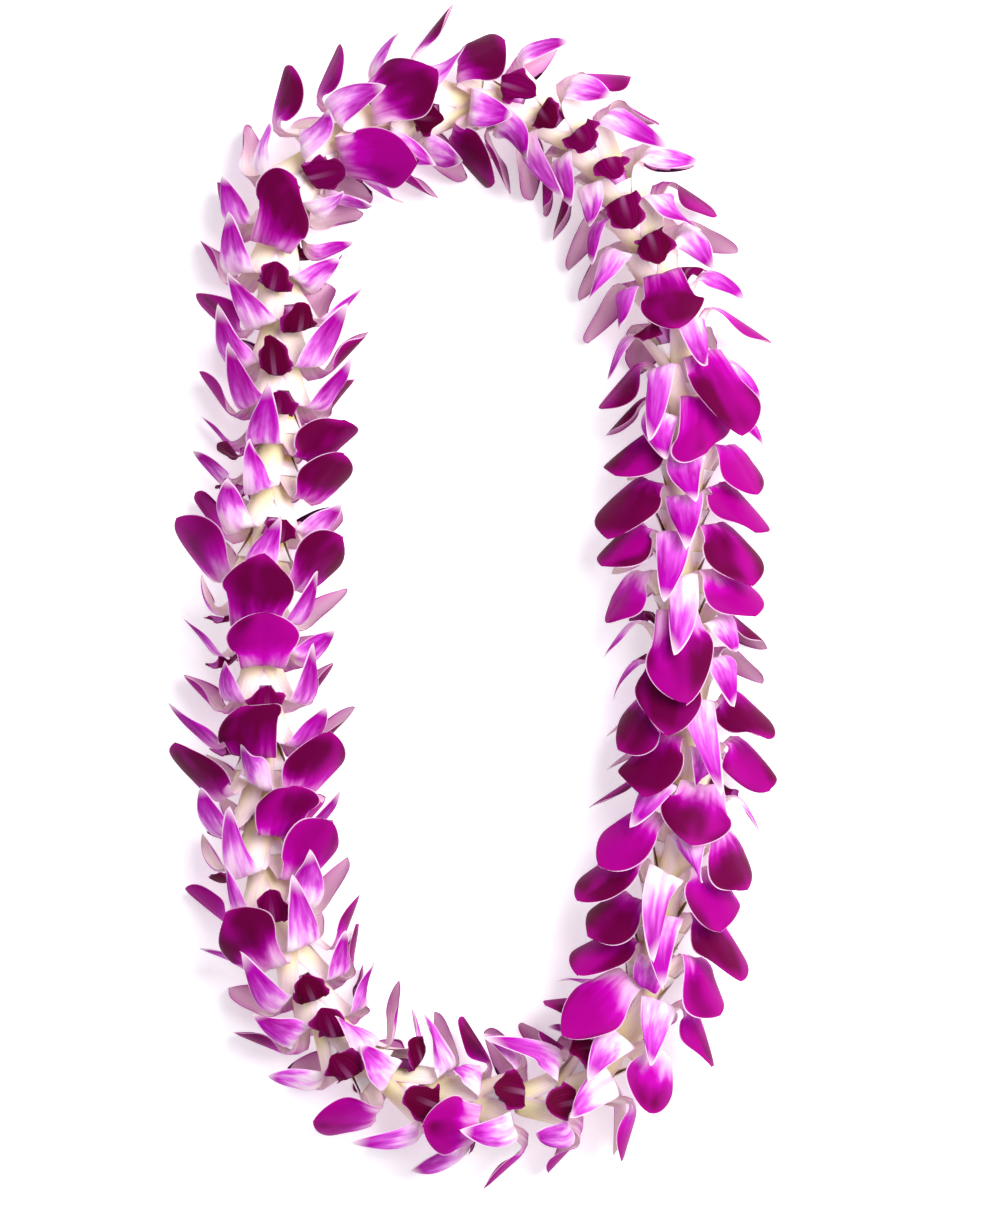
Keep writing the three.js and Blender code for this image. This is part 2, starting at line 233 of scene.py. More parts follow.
def changeOf(k, n, angle):    # the fixed small differences of blade n of blossom k
    def drawn(name):
        return draw(k, n + drawNumber[name])

    nodWay = angle - math.pi * draw(k, drawNumber["nodWay"])
    nod = spread["nod"] * draw(k, drawNumber["nod"]) * math.cos(nodWay)
    return {
        "length": 1 + spread["length"] * drawn("length"),
        "width": 1 + spread["width"] * drawn("width"),
        "turn": spread["turn"] * drawn("turn") + nod,
        "drift": spread["drift"] * drawn("drift"),
        "twist": spread["twist"] * drawn("twist"),
        "phase": spread["phase"] * drawn("phase"),
        "bend": spread["bend"] * drawn("bend"),
        "curlAcross": drawn("curlAcross"),
        "curlBack": drawn("curlBack"),
        "tipTwist": drawn("tipTwist"),
        "tone": drawTone(k, n + drawNumber["tone"]),
    }


bladeDetail = {               # a span is from where to where along a blade something comes in, and goes
    "spineSteps": 48,
    "tipCrowding": 1.35,      # rows stand closer together towards the tip
    "oneSided": 0.1,          # share by which one half of a blade is the wider
    "driftSpan": [0.2, 0.8],
    "twistSpan": [0.15, 0.7],
    "tipTwistSpan": [0.3, 0.95],
    "cupSpan": [0.25, 0.7],
    "waves": [9, 3],          # in radians along the blade and across it
    "waveSpan": [0.4, 0.8],
    "fleshSpan": [0, 0.06, 0.94, 1],
    "fleshThins": 0.45,       # share by which a blade is thinner at its tip
}


def bladeSpine(form, angle, change):      # rows of a point, the way on, the way across and the face
    outwards = np.array([0, -math.sin(angle), math.cos(angle)])
    sideways = np.array([0, -math.cos(angle), -math.sin(angle)])
    tipTurn = form["tipTurn"] + form["laidBack"] * max(0, math.cos(angle)) ** 2 + change["turn"]
    fullTwist = change["twist"] + form["faceUp"] * math.sin(angle)
    steps = bladeDetail["spineSteps"]
    step = form["length"] * change["length"] / steps
    point = np.array([form["root"][0], 0, 0]) + outwards * form["root"][1]
    rows = []
    for i in range(steps + 1):
        u = i / steps
        turn = math.radians(mix(form["lean"], tipTurn, ease(*form["bend"], u - change["bend"])))
        drift = math.radians(change["drift"]) * ease(*bladeDetail["driftSpan"], u)
        forward = np.array([math.cos(turn), 0, 0]) + outwards * math.sin(turn)
        forward = forward * math.cos(drift) + sideways * math.sin(drift)
        forward = settle(forward, strand["threadHeight"] + point[2])
        width = unit(sideways - forward * sideways.dot(forward))
        twist = math.radians(fullTwist) * ease(*bladeDetail["twistSpan"], u)
        width = width * math.cos(twist) + np.cross(forward, width) * math.sin(twist)
        rows.append([point, forward, width, np.cross(forward, width)])
        point = point + forward * step
    return np.array(rows)


lipDetail = {
    "lobes": 0.2,             # share by which the side lobes stand out
    "lobeFrom": 0.18,
    "lobeWaves": 1.6,
    "lobeSpan": [0.2, 0.4, 0.9, 1],
    "rag": 0.26,              # share by which the margin comes and goes
    "coarseRag": [0.6, 31, 9],            # height, radians along, and shift with the tone
    "fineRag": [0.4, 53, 5],
    "ragSpan": [0.3, 0.5],
    "frill": 2.6,
    "frillWaves": [24, 4, 3],             # radians along, by side, and shift with the phase
    "frillSpan": [0.3, 0.6, 0.92, 1],
    "keels": 0.35,            # height of the three ridges down its middle
    "middleKeelWidth": 0.9,
    "sideKeels": [0.7, 2.6, 0.8],         # height beside the middle one's, place and width
    "keelSpan": [0.1, 0.3, 0.65, 0.9],
}


def shapeLip(x, lift, u, v, change):      # side lobes, a ragged and frilled margin, and keels
    tone, side, margin = change["tone"], np.sign(v), v**4
    lobes = np.sin(2 * math.pi * (u - lipDetail["lobeFrom"]) * lipDetail["lobeWaves"])
    lobes = lobes * riseAndFall(lipDetail["lobeSpan"], u)
    height, waves, shift = lipDetail["coarseRag"]
    rag = height * np.sin(waves * u + tone * shift)
    height, waves, shift = lipDetail["fineRag"]
    rag = rag + height * np.sin(waves * u + tone * shift + side)
    rag = rag * margin * ease(*lipDetail["ragSpan"], u)
    x = x * (1 + lipDetail["lobes"] * lobes + lipDetail["rag"] * rag)

    waves, sideShift, shift = lipDetail["frillWaves"]
    frill = np.sin(waves * u + sideShift * side + change["phase"] * shift)
    lift = lift + lipDetail["frill"] * frill * margin * riseAndFall(lipDetail["frillSpan"], u)
    sideHeight, sidePlace, sideWidth = lipDetail["sideKeels"]
    keels = np.exp(-((x / lipDetail["middleKeelWidth"]) ** 2))
    keels = keels + sideHeight * np.exp(-(((np.abs(x) - sidePlace) / sideWidth) ** 2))
    return x, lift + lipDetail["keels"] * keels * riseAndFall(lipDetail["keelSpan"], u)


tepalDetail = {               # of petals and sepals
    "midrib": 0.4,            # depth of the channel down the middle
    "midribWidth": 1.6,
    "midribSpan": [0.15, 0.4, 0.85, 1],
    "rollBack": 0.05,         # of the margin, as a share of the blade's width
    "rollBackSpan": [0.45, 0.8],
    "marginWave": 0.35,
    "marginWaves": [17, 5, 7],            # radians along, by side, and shift with the tone
    "marginSpan": [0.3, 0.6],
    "hook": [9, 7],           # how far a sepal's tip curls across and back
    "hookFrom": 0.6,
}


def shapeTepal(lift, x, u, v, half, change):          # a midrib and a rolled, wavy margin
    margin = v**4
    channel = np.exp(-((x / tepalDetail["midribWidth"]) ** 2))
    lift = lift - tepalDetail["midrib"] * channel * riseAndFall(tepalDetail["midribSpan"], u)
    lift = lift - tepalDetail["rollBack"] * half * 2 * margin * ease(*tepalDetail["rollBackSpan"], u)
    waves, sideShift, shift = tepalDetail["marginWaves"]
    wave = np.sin(waves * u + sideShift * np.sign(v) + change["tone"] * shift)
    return lift + tepalDetail["marginWave"] * margin * wave * ease(*tepalDetail["marginSpan"], u)


def hookTip(x, lift, u, change):
    start = tepalDetail["hookFrom"]
    curl = np.clip((u - start) / (1 - start), 0, 1) ** 2
    across, back = tepalDetail["hook"]
    return x + across * change["curlAcross"] * curl, lift - back * change["curlBack"] * curl


def bladeSheet(form, spine, change, station, pale):   # the middle surface of one blade
    rowCount, columnCount = form["rowCount"], form["columnCount"]
    s = np.linspace(0, 1, rowCount + 1)
    u = (1 - (1 - s) ** bladeDetail["tipCrowding"])[:, None]
    v = np.linspace(-1, 1, columnCount + 1)[None, :]
    place = np.minimum(bladeDetail["spineSteps"] - 1e-6, u[:, 0] * bladeDetail["spineSteps"])
    i = place.astype(int)
    t = (place - i)[:, None, None]
    line = spine[i] * (1 - t) + spine[i + 1] * t
    point, widthWay, faceWay = line[:, 0], line[:, 2], line[:, 3]

    half = 0.5 * widthAt(form, u) * change["width"]
    x = v * half * (1 + bladeDetail["oneSided"] * change["curlAcross"] * np.sign(v))
    cup = mix(*form["cup"], ease(*bladeDetail["cupSpan"], u)) * x * x / 2
    wavesAlong, wavesAcross = bladeDetail["waves"]
    wave = np.sin(wavesAlong * u + wavesAcross * v + change["phase"])
    lift = cup + form["wave"] * v * v * ease(*bladeDetail["waveSpan"], u) * wave
    if form is lipForm:
        x, lift = shapeLip(x, lift, u, v, change)
    else:
        lift = shapeTepal(lift, x, u, v, half, change)
    if form is sepalForm:
        x, lift = hookTip(x, lift, u, change)
    twist = math.radians(form["tipTwist"] * change["tipTwist"]) * ease(*bladeDetail["tipTwistSpan"], u)
    x, lift = x * np.cos(twist) - lift * np.sin(twist), x * np.sin(twist) + lift * np.cos(twist)

    points = point[:, None] + widthWay[:, None] * x[..., None] + faceWay[:, None] * lift[..., None]
    keepApart(points, form["layer"], station)
    points[..., 2] = softFloor(strand["threadHeight"] + points[..., 2]) - strand["threadHeight"]
    flesh = form["flesh"] * (1 - v**6) * (1 - bladeDetail["fleshThins"] * u)
    flesh = flesh * riseAndFall(bladeDetail["fleshSpan"], u)
    return {
        "points": points.reshape(-1, 3),
        "along": np.broadcast_to(u, flesh.shape).ravel(),
        "across": np.broadcast_to(v, flesh.shape).ravel(),
        "flesh": flesh.ravel(),
        "tone": np.full(flesh.size, change["tone"]),
        "pale": np.full(flesh.size, pale),
        "kind": form["kind"],
        "faces": gridFaces(rowCount, columnCount, False),
    }


def gridFaces(rowCount, columnCount, closed):
    width = columnCount if closed else columnCount + 1
    i, j = np.meshgrid(np.arange(rowCount), np.arange(columnCount), indexing="ij")
    nextJ = (j + 1) % width
    corners = [i * width + j, (i + 1) * width + j, (i + 1) * width + nextJ, i * width + nextJ]
    return np.stack(corners, -1).reshape(-1, 4)


heartForm = {
    "kind": 3,
    "profile": [              # place along and radius, from the back of the funnel to the column's end
        [-8.3, 0.95], [-8.3, 1.9], [-7.2, 2.6], [-5.6, 3.4], [-3.6, 4.4], [-1.2, 5.5], [1.6, 6.8],
        [4.6, 8.3], [7.6, 9.9], [10.2, 11.4], [10.4, 11.2], [7.8, 9.1], [4.4, 7.3], [1.8, 5.4],
        [1.4, 4.2], [2.2, 3.0], [3.4, 2.3], [5.4, 2.0], [7.2, 1.9], [7.9, 1.5], [8.0, 0.95],
    ],
    "sides": 30,
    "chin": 1.5,              # how far the funnel stands out on the lip's side
    "chinSpan": [-6.8, -3.6, -1],
    "chinPower": 3,
    "pleats": 0.05,
    "pleatCount": 6,
    "pleatTurn": 0.6,
    "pleatSpan": [2.5, 4],    # of the radius
}


def heartSheet(roll, tone, pale):         # the funnel with its chin, and the column in it
    profile = np.array(heartForm["profile"])
    sides = heartForm["sides"]
    turn = 2 * math.pi * np.arange(sides) / sides
    lipSide = np.cos(turn - math.pi)
    along, radius = profile[:, :1], profile[:, 1:]
    low, middle, high = heartForm["chinSpan"]
    chin = np.where(along < middle, ease(low, middle, along), 1 - ease(middle, high, along))
    chin = heartForm["chin"] * chin * np.maximum(0, lipSide) ** heartForm["chinPower"]
    pleats = np.cos(heartForm["pleatCount"] * turn + heartForm["pleatTurn"])
    pleats = 1 + heartForm["pleats"] * pleats * ease(*heartForm["pleatSpan"], radius)
    radius = radius * pleats + chin
    around = turn + roll
    points = np.stack([along + 0 * turn, -radius * np.sin(around), radius * np.cos(around)], -1)
    funnelBack, columnEnd = profile[0, 0], profile[-1, 0]
    size = radius.size
    return {
        "points": points.reshape(-1, 3),
        "along": np.broadcast_to((along - funnelBack) / (columnEnd - funnelBack), radius.shape).ravel(),
        "across": np.broadcast_to(lipSide, radius.shape).ravel(),
        "flesh": np.zeros(size),
        "tone": np.full(size, tone),
        "pale": np.full(size, pale),
        "kind": heartForm["kind"],
        "faces": gridFaces(len(profile), sides, True) % size,
    }


def toRow(points, station):   # from a blossom's own place to the row frame, in metres
    axes = np.stack([station["along"], station["inwards"], upwards])
    return (station["middle"] + points @ axes) * millimetre


def linked(name, mesh):       # the mesh's object in the scene
    made = bpy.data.objects.new(name, mesh)
    bpy.context.scene.collection.objects.link(made)
    return made


def sheetObject(name, sheets, station):
    points = np.vstack([sheet["points"] for sheet in sheets])
    starts = np.cumsum([0] + [len(sheet["points"]) for sheet in sheets])
    faces = np.vstack([sheet["faces"] + start for sheet, start in zip(sheets, starts)])
    mesh = bpy.data.meshes.new(name)
    mesh.from_pydata(toRow(points, station).tolist(), [], faces.tolist())
    for layer in ("along", "across", "flesh", "tone", "pale"):
        values = np.concatenate([sheet[layer] for sheet in sheets]).astype(np.float32)
        mesh.attributes.new(layer, "FLOAT", "POINT").data.foreach_set("value", values)
    kinds = np.concatenate([np.full(len(sheet["faces"]), sheet["kind"]) for sheet in sheets])
    mesh.attributes.new("kind", "INT", "FACE").data.foreach_set("value", kinds.astype(np.int32))
    return linked(name, mesh)


class Wire:                   # a node's output; sums and products of it add Math nodes
    def __init__(self, nodes, socket):
        self.nodes = nodes
        self.socket = socket

    def out(self, name):
        return Wire(self.nodes, self.socket.node.outputs[name])

    def __add__(self, other):
        return self.nodes.maths("ADD", self, other)

    def __sub__(self, other):
        return self.nodes.maths("SUBTRACT", self, other)

    def __rsub__(self, other):
        return self.nodes.maths("SUBTRACT", other, self)

    def __mul__(self, other):
        return self.nodes.maths("MULTIPLY", self, other)

    def __truediv__(self, other):
        return self.nodes.maths("DIVIDE", self, other)

    def __rtruediv__(self, other):
        return self.nodes.maths("DIVIDE", other, self)

    __radd__ = __add__
    __rmul__ = __mul__


class Nodes:                  # a tree and the ways to add to it
    def __init__(self, tree):
        self.tree = tree

    def add(self, kind, settings=None, values=None, output=0):
        node = self.tree.nodes.new(kind)
        for name, value in (settings or {}).items():
            setattr(node, name, value)
        for key, value in (values or {}).items():
            for each in value if isinstance(value, list) else [value]:
                if isinstance(each, Wire):
                    self.tree.links.new(each.socket, node.inputs[key])
                else:
                    node.inputs[key].default_value = each
        return Wire(self, node.outputs[output]) if len(node.outputs) else node

    def maths(self, operation, *values):
        return self.add("ShaderNodeMath", {"operation": operation}, dict(enumerate(values)))

    def smooth(self, value, start, end):      # 0 before start, 1 after end
        ranges = {"Value": value, "From Min": start, "From Max": end, "To Min": 0.0, "To Max": 1.0}
        return self.add("ShaderNodeMapRange", {"interpolation_type": "SMOOTHSTEP"}, ranges)

    def vector(self, operation, a, b):
        return self.add("ShaderNodeVectorMath", {"operation": operation}, {0: a, 1: b})

    def scaled(self, direction, length):
        values = {0: direction, "Scale": length}
        return self.add("ShaderNodeVectorMath", {"operation": "SCALE"}, values)

    def stored(self, name, kind="FLOAT"):     # an attribute of the mesh, in a geometry tree
        return self.add("GeometryNodeInputNamedAttribute", {"data_type": kind}, {"Name": name})

    def mixed(self, way, factor, a, b):       # of two colours
        settings = {"data_type": "RGBA", "blend_type": way}
        return self.add("ShaderNodeMix", settings, {0: factor, 6: a, 7: b}, 2)

    def blend(self, factor, a, b):
        return self.mixed("MIX", factor, a, b)

    def darken(self, factor, a, b):
        return self.mixed("MULTIPLY", factor, a, b)


def paint(red, green, blue):  # a colour given as screen values from 0 to 255
    linear = [((c / 255 + 0.055) / 1.055) ** 2.4 if c > 10 else c / 255 / 12.92 for c in (red, green, blue)]
    return (*linear, 1.0)


class Finish(Nodes):          # a material and the values that its pattern reads
    def __init__(self, name, settings):
        self.material = bpy.data.materials.new(name)
        self.material.use_nodes = True
        super().__init__(self.material.node_tree)
        self.shader = self.tree.nodes["Principled BSDF"]
        for socket, value in settings.items():
            self.shader.inputs[socket].default_value = value

    def layer(self, name):
        return self.add("ShaderNodeAttribute", {"attribute_name": name}).out("Fac")

    def noise(self, vector, scale, detail):
        values = {"Vector": vector, "Scale": scale, "Detail": detail}
        return self.add("ShaderNodeTexNoise", {"noise_dimensions": "3D"}, values)

    def grain(self, scale, detail):           # noise that is even all over a piece
        return self.noise(self.add("ShaderNodeTexCoord").out("Object"), scale, detail)

    def connect(self, socket, value):
        self.tree.links.new(value.socket, self.shader.inputs[socket])

    def emboss(self, height, distance, strength):
        values = {"Height": height, "Distance": distance, "Strength": strength}
        self.connect("Normal", self.add("ShaderNodeBump", {}, values))


tissue = {
    "Specular IOR Level": 0.03,
    "Subsurface Weight": 0.1,
    "Subsurface Radius": (1.0, 0.35, 0.8),
    "Subsurface Scale": 0.0015,
}
frontFrom = [-0.9, -0.5]      # the side layer is -1 on a blade's back and 1 on its front


class TissueFinish(Finish):   # reads the places along and across a blade, and its tone
    def __init__(self, name):
        super().__init__(name, tissue)
        self.along = self.layer("along")
        self.across = self.layer("across")
        self.tone = self.layer("tone")

    def drawnOut(self, acrossCount, alongCount, toneShift, detail):       # noise that follows the blade
        values = {0: self.across * acrossCount, 1: self.along * alongCount, 2: self.tone * toneShift}
        return self.noise(self.add("ShaderNodeCombineXYZ", {}, values), 1.0, detail)

    def twoSided(self, back, front):
        return self.blend(self.smooth(self.layer("side"), *frontFrom), back, front)


petalLook = {
    "base": paint(252, 234, 242), "blush": paint(196, 6, 186), "full": paint(152, 0, 124),
    "deep": paint(86, 0, 44), "rim": paint(246, 206, 238), "tip": paint(150, 4, 118),
    "backBase": paint(248, 228, 228), "backFull": paint(178, 36, 160), "backLine": paint(206, 110, 186),
    "paleTo": 0.36, "fullFrom": 0.62, "paleShift": 0.2, "mottle": 0.2,
    "toneShare": 0.45, "deepShare": 0.92, "keel": 0.06, "tipFrom": 0.985, "tipRim": 0.06, "rimFrom": 0.92,
    "backShare": 0.9, "backTip": 0.0, "veins": 0.02, "veinCount": 110,
}
sepalLook = {
    "base": paint(252, 236, 244), "blush": paint(218, 98, 220), "full": paint(168, 6, 160),
    "deep": paint(132, 0, 98), "rim": paint(246, 210, 238), "tip": paint(246, 236, 236),
    "backBase": paint(250, 232, 228), "backFull": paint(238, 166, 226), "backLine": paint(220, 140, 204),
    "paleTo": 0.48, "fullFrom": 0.8, "paleShift": 0.24, "mottle": 0.4,
    "toneShare": 0.3, "deepShare": 0.5, "keel": 0.35, "tipFrom": 1.0, "tipRim": 0.3, "rimFrom": 0.84,
    "backShare": 0.5, "backTip": 0.8, "veins": 0.06, "veinCount": 60,
}
tepalPattern = {              # what the two share; a noise has its counts across and along, shift and detail
    # the second colour on the next line is painted shade, for the margins near a blade's root where the
    # blades overlap in the funnel
    "root": paint(240, 234, 158), "paintedShade": paint(226, 190, 204), "backTip": paint(236, 232, 190),
    "vein": paint(200, 150, 190),
    "streaks": 0.07,
    "streak": [4, 1.1, 40, 1.5],
    "patch": [0.9, 1.6, 60, 1.0],
    "mottle": [2.4, 6, 90, 2.0],
    "line": [16, 0.8, 20, 2.0],
    "grain": [900.0, 3.0],
    "blushReach": [-0.14, 0.04],          # from paleTo, and from halfway between paleTo and fullFrom
    "fullReach": [0.03, 0.04],            # from paleTo and from fullFrom
    "deepSpan": [0.36, 0.66],
    "keelNarrowness": 14,
    "keelFades": [0.55, 0.95],
    "tipReach": [-0.09, 0.03],            # from tipFrom
    "rootFades": [0.16, 0.5],
    "rootStreaks": 0.1,
    "rootShare": [0.1, 0.6],              # everywhere, and more of it in patches
    "rootPatchSpan": [0.4, 0.65],
    "rootPale": 0.2,
    "lineSpan": [0.5, 0.75],
    "lineComesIn": [0.15, 0.4],
    "lineShare": 0.35,
    "backTipSpan": [0.86, 1.0],
    # the next three set where and how strongly the painted shade darkens the margins near the root
    "paintedShadeSpan": [0.5, 1.0],
    "paintedShadeFades": [0.42, 0.6],
    "paintedShadeDepth": 0.5,
    # the pale rim is partly the tepals' own paler margin and partly painted light, the bright edge where
    # light shines through the thin tissue
    "rimTipSpan": [0.8, 1.0],
    "rimShare": 0.9,
    "veinWander": 5,
    "roughness": [0.4, 0.18],
    "reliefOf": [3, 0.5],                 # the veins and the grain
    "relief": [0.0001, 0.5],
}


def tepalFinish(name, look):  # a petal or sepal: coloured front, pale back, streaks along it
    finish = TissueFinish(name)
    shared = tepalPattern
    along, across, tone, pale = finish.along, finish.across, finish.tone, finish.layer("pale")
    smooth, blend = finish.smooth, finish.blend
    streak = finish.drawnOut(*shared["streak"])
    patch = finish.drawnOut(*shared["patch"])
    mottle = finish.drawnOut(*shared["mottle"])
    grain = finish.grain(*shared["grain"])
    edge = across * across

    uneven = (streak - 0.5) * shared["streaks"] * 2 + (mottle - 0.5) * look["mottle"]
    reach = along + uneven - pale * look["paleShift"]
    paleTo, fullFrom = look["paleTo"], look["fullFrom"]
    blushStart, blushEnd = shared["blushReach"]
    blushed = smooth(reach, paleTo + blushStart, (paleTo + fullFrom) / 2 + blushEnd)
    filled = smooth(reach, paleTo + shared["fullReach"][0], fullFrom + shared["fullReach"][1])
    deep = smooth(patch + (tone - 0.5) * look["toneShare"], *shared["deepSpan"]) * look["deepShare"]
    keel = smooth(1 - edge * shared["keelNarrowness"], 0.0, 1.0) * look["keel"]
    keel = keel * (1 - smooth(along, *shared["keelFades"]))
    tipStart, tipEnd = [look["tipFrom"] + reached for reached in shared["tipReach"]]
    rootEverywhere, rootInPatches = shared["rootShare"]
    root = 1 - smooth(along + streak * shared["rootStreaks"], *shared["rootFades"])
    rootPatch = smooth(patch + pale * shared["rootPale"], *shared["rootPatchSpan"])
    root = root * (rootEverywhere + rootInPatches * rootPatch)

    front = blend(blushed, look["base"], look["blush"])
    front = blend(filled, front, look["full"])
    front = blend(deep * filled, front, look["deep"])
    front = blend(keel, front, look["blush"])
    front = blend(smooth(along, tipStart, tipEnd), front, look["tip"])
    front = blend(root, front, shared["root"])

    lines = smooth(finish.drawnOut(*shared["line"]), *shared["lineSpan"])
    lines = lines * smooth(along, *shared["lineComesIn"]) * shared["lineShare"]
    back = blend(filled * look["backShare"] * (0.5 + edge * 0.5), look["backBase"], look["backFull"])
    back = blend(root, back, shared["root"])
    back = blend(lines, back, look["backLine"])
    back = blend(smooth(along, *shared["backTipSpan"]) * look["backTip"], back, shared["backTip"])

    colour = finish.twoSided(back, front)
    # painted shade: the margins near the root are darkened where the blades overlap in the funnel
    paintedShade = smooth(edge, *shared["paintedShadeSpan"]) * (1 - smooth(along, *shared["paintedShadeFades"]))
    colour = finish.darken(paintedShade * shared["paintedShadeDepth"], colour, shared["paintedShade"])
    # a pale rim round the margin and tip: partly the tepals' own paler margin and partly painted light
    # shining through the thin edge
    rim = edge + smooth(along, *shared["rimTipSpan"]) * look["tipRim"]
    colour = blend(smooth(rim, look["rimFrom"], 1.0) * shared["rimShare"], colour, look["rim"])
    vein = finish.maths("SINE", across * look["veinCount"] + streak * shared["veinWander"])
    colour = finish.darken((0.5 + vein * 0.5) * look["veins"], colour, shared["vein"])
    finish.connect("Base Color", colour)
    smoothest, rougher = shared["roughness"]
    finish.connect("Roughness", smoothest + grain * rougher)
    veinRelief, grainRelief = shared["reliefOf"]
    finish.emboss(vein * look["veins"] * veinRelief + grain * grainRelief, *shared["relief"])
    return finish.material


lipLook = {
    "base": paint(248, 230, 216), "fan": paint(238, 176, 236), "full": paint(130, 0, 96),
    "outside": paint(190, 60, 182), "deep": paint(84, 0, 40), "rim": paint(226, 150, 218),
    "margin": paint(158, 22, 128), "vein": paint(190, 130, 180),
    "streak": [9, 1.4, 50, 3.0],
    "grain": [900.0, 3.0],
    "fullBy": [0.3, 0.1],     # the streaks and the edge
    "fullSpan": [0.26, 0.5],
    "deepBy": [0.5, 0.5, 0.1, 0.3],       # the streaks, the place along, the edge and the tone
    "deepSpan": [0.5, 1.0],
    "rayNarrowness": 22,
    "rayFades": [0.6, 0.97],
    "rayShare": 0.35,
    "glowNarrowness": 2.2,
    "glowFades": [0.62, 1.0],
    "glowTone": 0.2,
    "backShare": 0.95,
    "darkBackSpan": [0.55, 0.75],         # of the tone
    "darkBackShare": 0.8,
    "marginStreaks": 0.3,
    "marginSpan": [0.7, 1.15],
    "marginShare": 0.55,
    "rimSpan": [0.94, 1.0],
    "rimShare": 0.3,
    "veinCount": 30,
    "veinWander": 6,
    "veins": 0.06,
    "roughness": [0.42, 0.2],
    "reliefOf": [0.4, 0.5],   # the veins and the grain
    "relief": [0.00015, 0.7],
}


def lipFinish(name):          # a purple fan with pale rays over its keels
    finish = TissueFinish(name)
    look = lipLook
    along, across, tone = finish.along, finish.across, finish.tone
    smooth, blend = finish.smooth, finish.blend
    streak = finish.drawnOut(*look["streak"])
    grain = finish.grain(*look["grain"])
    edge = across * across

    byStreak, byEdge = look["fullBy"]
    filled = smooth(along + (streak - 0.5) * byStreak + edge * byEdge, *look["fullSpan"])
    byStreak, byAlong, byEdge, byTone = look["deepBy"]
    deep = smooth(streak * byStreak + along * byAlong + edge * byEdge + tone * byTone, *look["deepSpan"])
    ray = smooth(1 - edge * look["rayNarrowness"], 0.0, 1.0) * (1 - smooth(along, *look["rayFades"]))
    front = blend(filled, look["base"], look["full"])
    front = blend(deep * filled, front, look["deep"])
    front = blend(ray * look["rayShare"], front, look["fan"])

    glow = smooth(1 - edge * look["glowNarrowness"], 0.0, 1.0)
    glow = glow * (1 - smooth(along + tone * look["glowTone"], *look["glowFades"]))
    darkBack = smooth(tone, *look["darkBackSpan"]) * filled * look["darkBackShare"]
    back = blend(filled * look["backShare"], look["base"], look["outside"])
    back = blend(glow, back, look["fan"])
    back = blend(darkBack, back, look["full"])

    colour = finish.twoSided(back, front)
    margin = smooth(edge + streak * look["marginStreaks"], *look["marginSpan"])
    colour = blend(margin * look["marginShare"], colour, look["margin"])
    colour = blend(smooth(edge, *look["rimSpan"]) * look["rimShare"], colour, look["rim"])
    vein = finish.maths("SINE", across * look["veinCount"] + streak * look["veinWander"])
    colour = finish.darken((0.5 + vein * 0.5) * look["veins"], colour, look["vein"])
    finish.connect("Base Color", colour)
    smoothest, rougher = look["roughness"]
    finish.connect("Roughness", smoothest + grain * rougher)
    veinRelief, grainRelief = look["reliefOf"]
    finish.emboss(vein * veinRelief + grain * grainRelief, *look["relief"])
    return finish.material


heartLook = {
    "cream": paint(250, 234, 224), "green": paint(216, 208, 100), "pink": paint(236, 190, 206),
    "mouth": paint(214, 200, 90), "cap": paint(252, 248, 244),
    "streak": [6, 2, 30, 3.0],
    "grain": [700.0, 3.0],
    "greenBy": [0.2, 0.12],   # the streaks and the lip's side
    "greenFades": [0.06, 0.42],
    "greenShare": 0.55,
    "pinkSpan": [0.5, 0.75],
    "pinkShare": 0.5,
    "mouthComesIn": [0.58, 0.66],
    "mouthFades": [0.72, 0.85],
    "mouthShare": 0.8,
    "capSpan": [0.86, 0.95],
    "roughness": [0.42, 0.16],
    "streakRelief": 0.6,
    "relief": [0.00012, 0.6],
}


def heartFinish(name):        # the funnel, its green back, its chin and the pale column
    finish = TissueFinish(name)
    look = heartLook
    along, smooth, blend = finish.along, finish.smooth, finish.blend
    streak = finish.drawnOut(*look["streak"])
    grain = finish.grain(*look["grain"])
    byStreak, bySide = look["greenBy"]
    greenBack = 1 - smooth(along + (streak - 0.5) * byStreak - finish.across * bySide, *look["greenFades"])
    mouth = smooth(along, *look["mouthComesIn"]) * (1 - smooth(along, *look["mouthFades"]))
    colour = blend(smooth(streak, *look["pinkSpan"]) * look["pinkShare"], look["cream"], look["pink"])
    colour = blend(greenBack * look["greenShare"], colour, look["green"])
    colour = blend(mouth * look["mouthShare"], colour, look["mouth"])
    colour = blend(smooth(along, *look["capSpan"]), colour, look["cap"])
    finish.connect("Base Color", colour)
    smoothest, rougher = look["roughness"]
    finish.connect("Roughness", smoothest + grain * rougher)
    finish.emboss(grain + streak * look["streakRelief"], *look["relief"])
    return finish.material


finishes = [                  # in the order of the kinds
    tepalFinish("broadPetalSkin", petalLook),
    tepalFinish("sepalSkin", sepalLook),
    lipFinish("lipSkin"),
    heartFinish("heartSkin"),
]
print("blossom finishes done:", len(finishes))

tissueInputs = {              # of the tree that gives the petals their body
    "Thickness": 0.9 * millimetre,
    "Ripple Scale": 60.0,
    "Ripple Height": 0.9 * millimetre,
    "Rest Height": 0.05 * millimetre,
    "Seed": 11.0,
}
tissueDetail = {
    "seedPerTone": 30,
    "rippleSpan": [0.25, 0.6],
    "middleRipple": 0.4,      # beside 1 more at the margins
    "weld": 0.01,
    "rim": 0.999,             # from here the edge counts as the rim, and is kept sharp
}


def newTree(name, inputs):
    tree = bpy.data.node_groups.new(name, "GeometryNodeTree")
    tree.interface.new_socket(name="Geometry", in_out="INPUT", socket_type="NodeSocketGeometry")
    tree.interface.new_socket(name="Geometry", in_out="OUTPUT", socket_type="NodeSocketGeometry")
    for label in inputs:
        tree.interface.new_socket(name=label, in_out="INPUT", socket_type="NodeSocketFloat")
    return tree


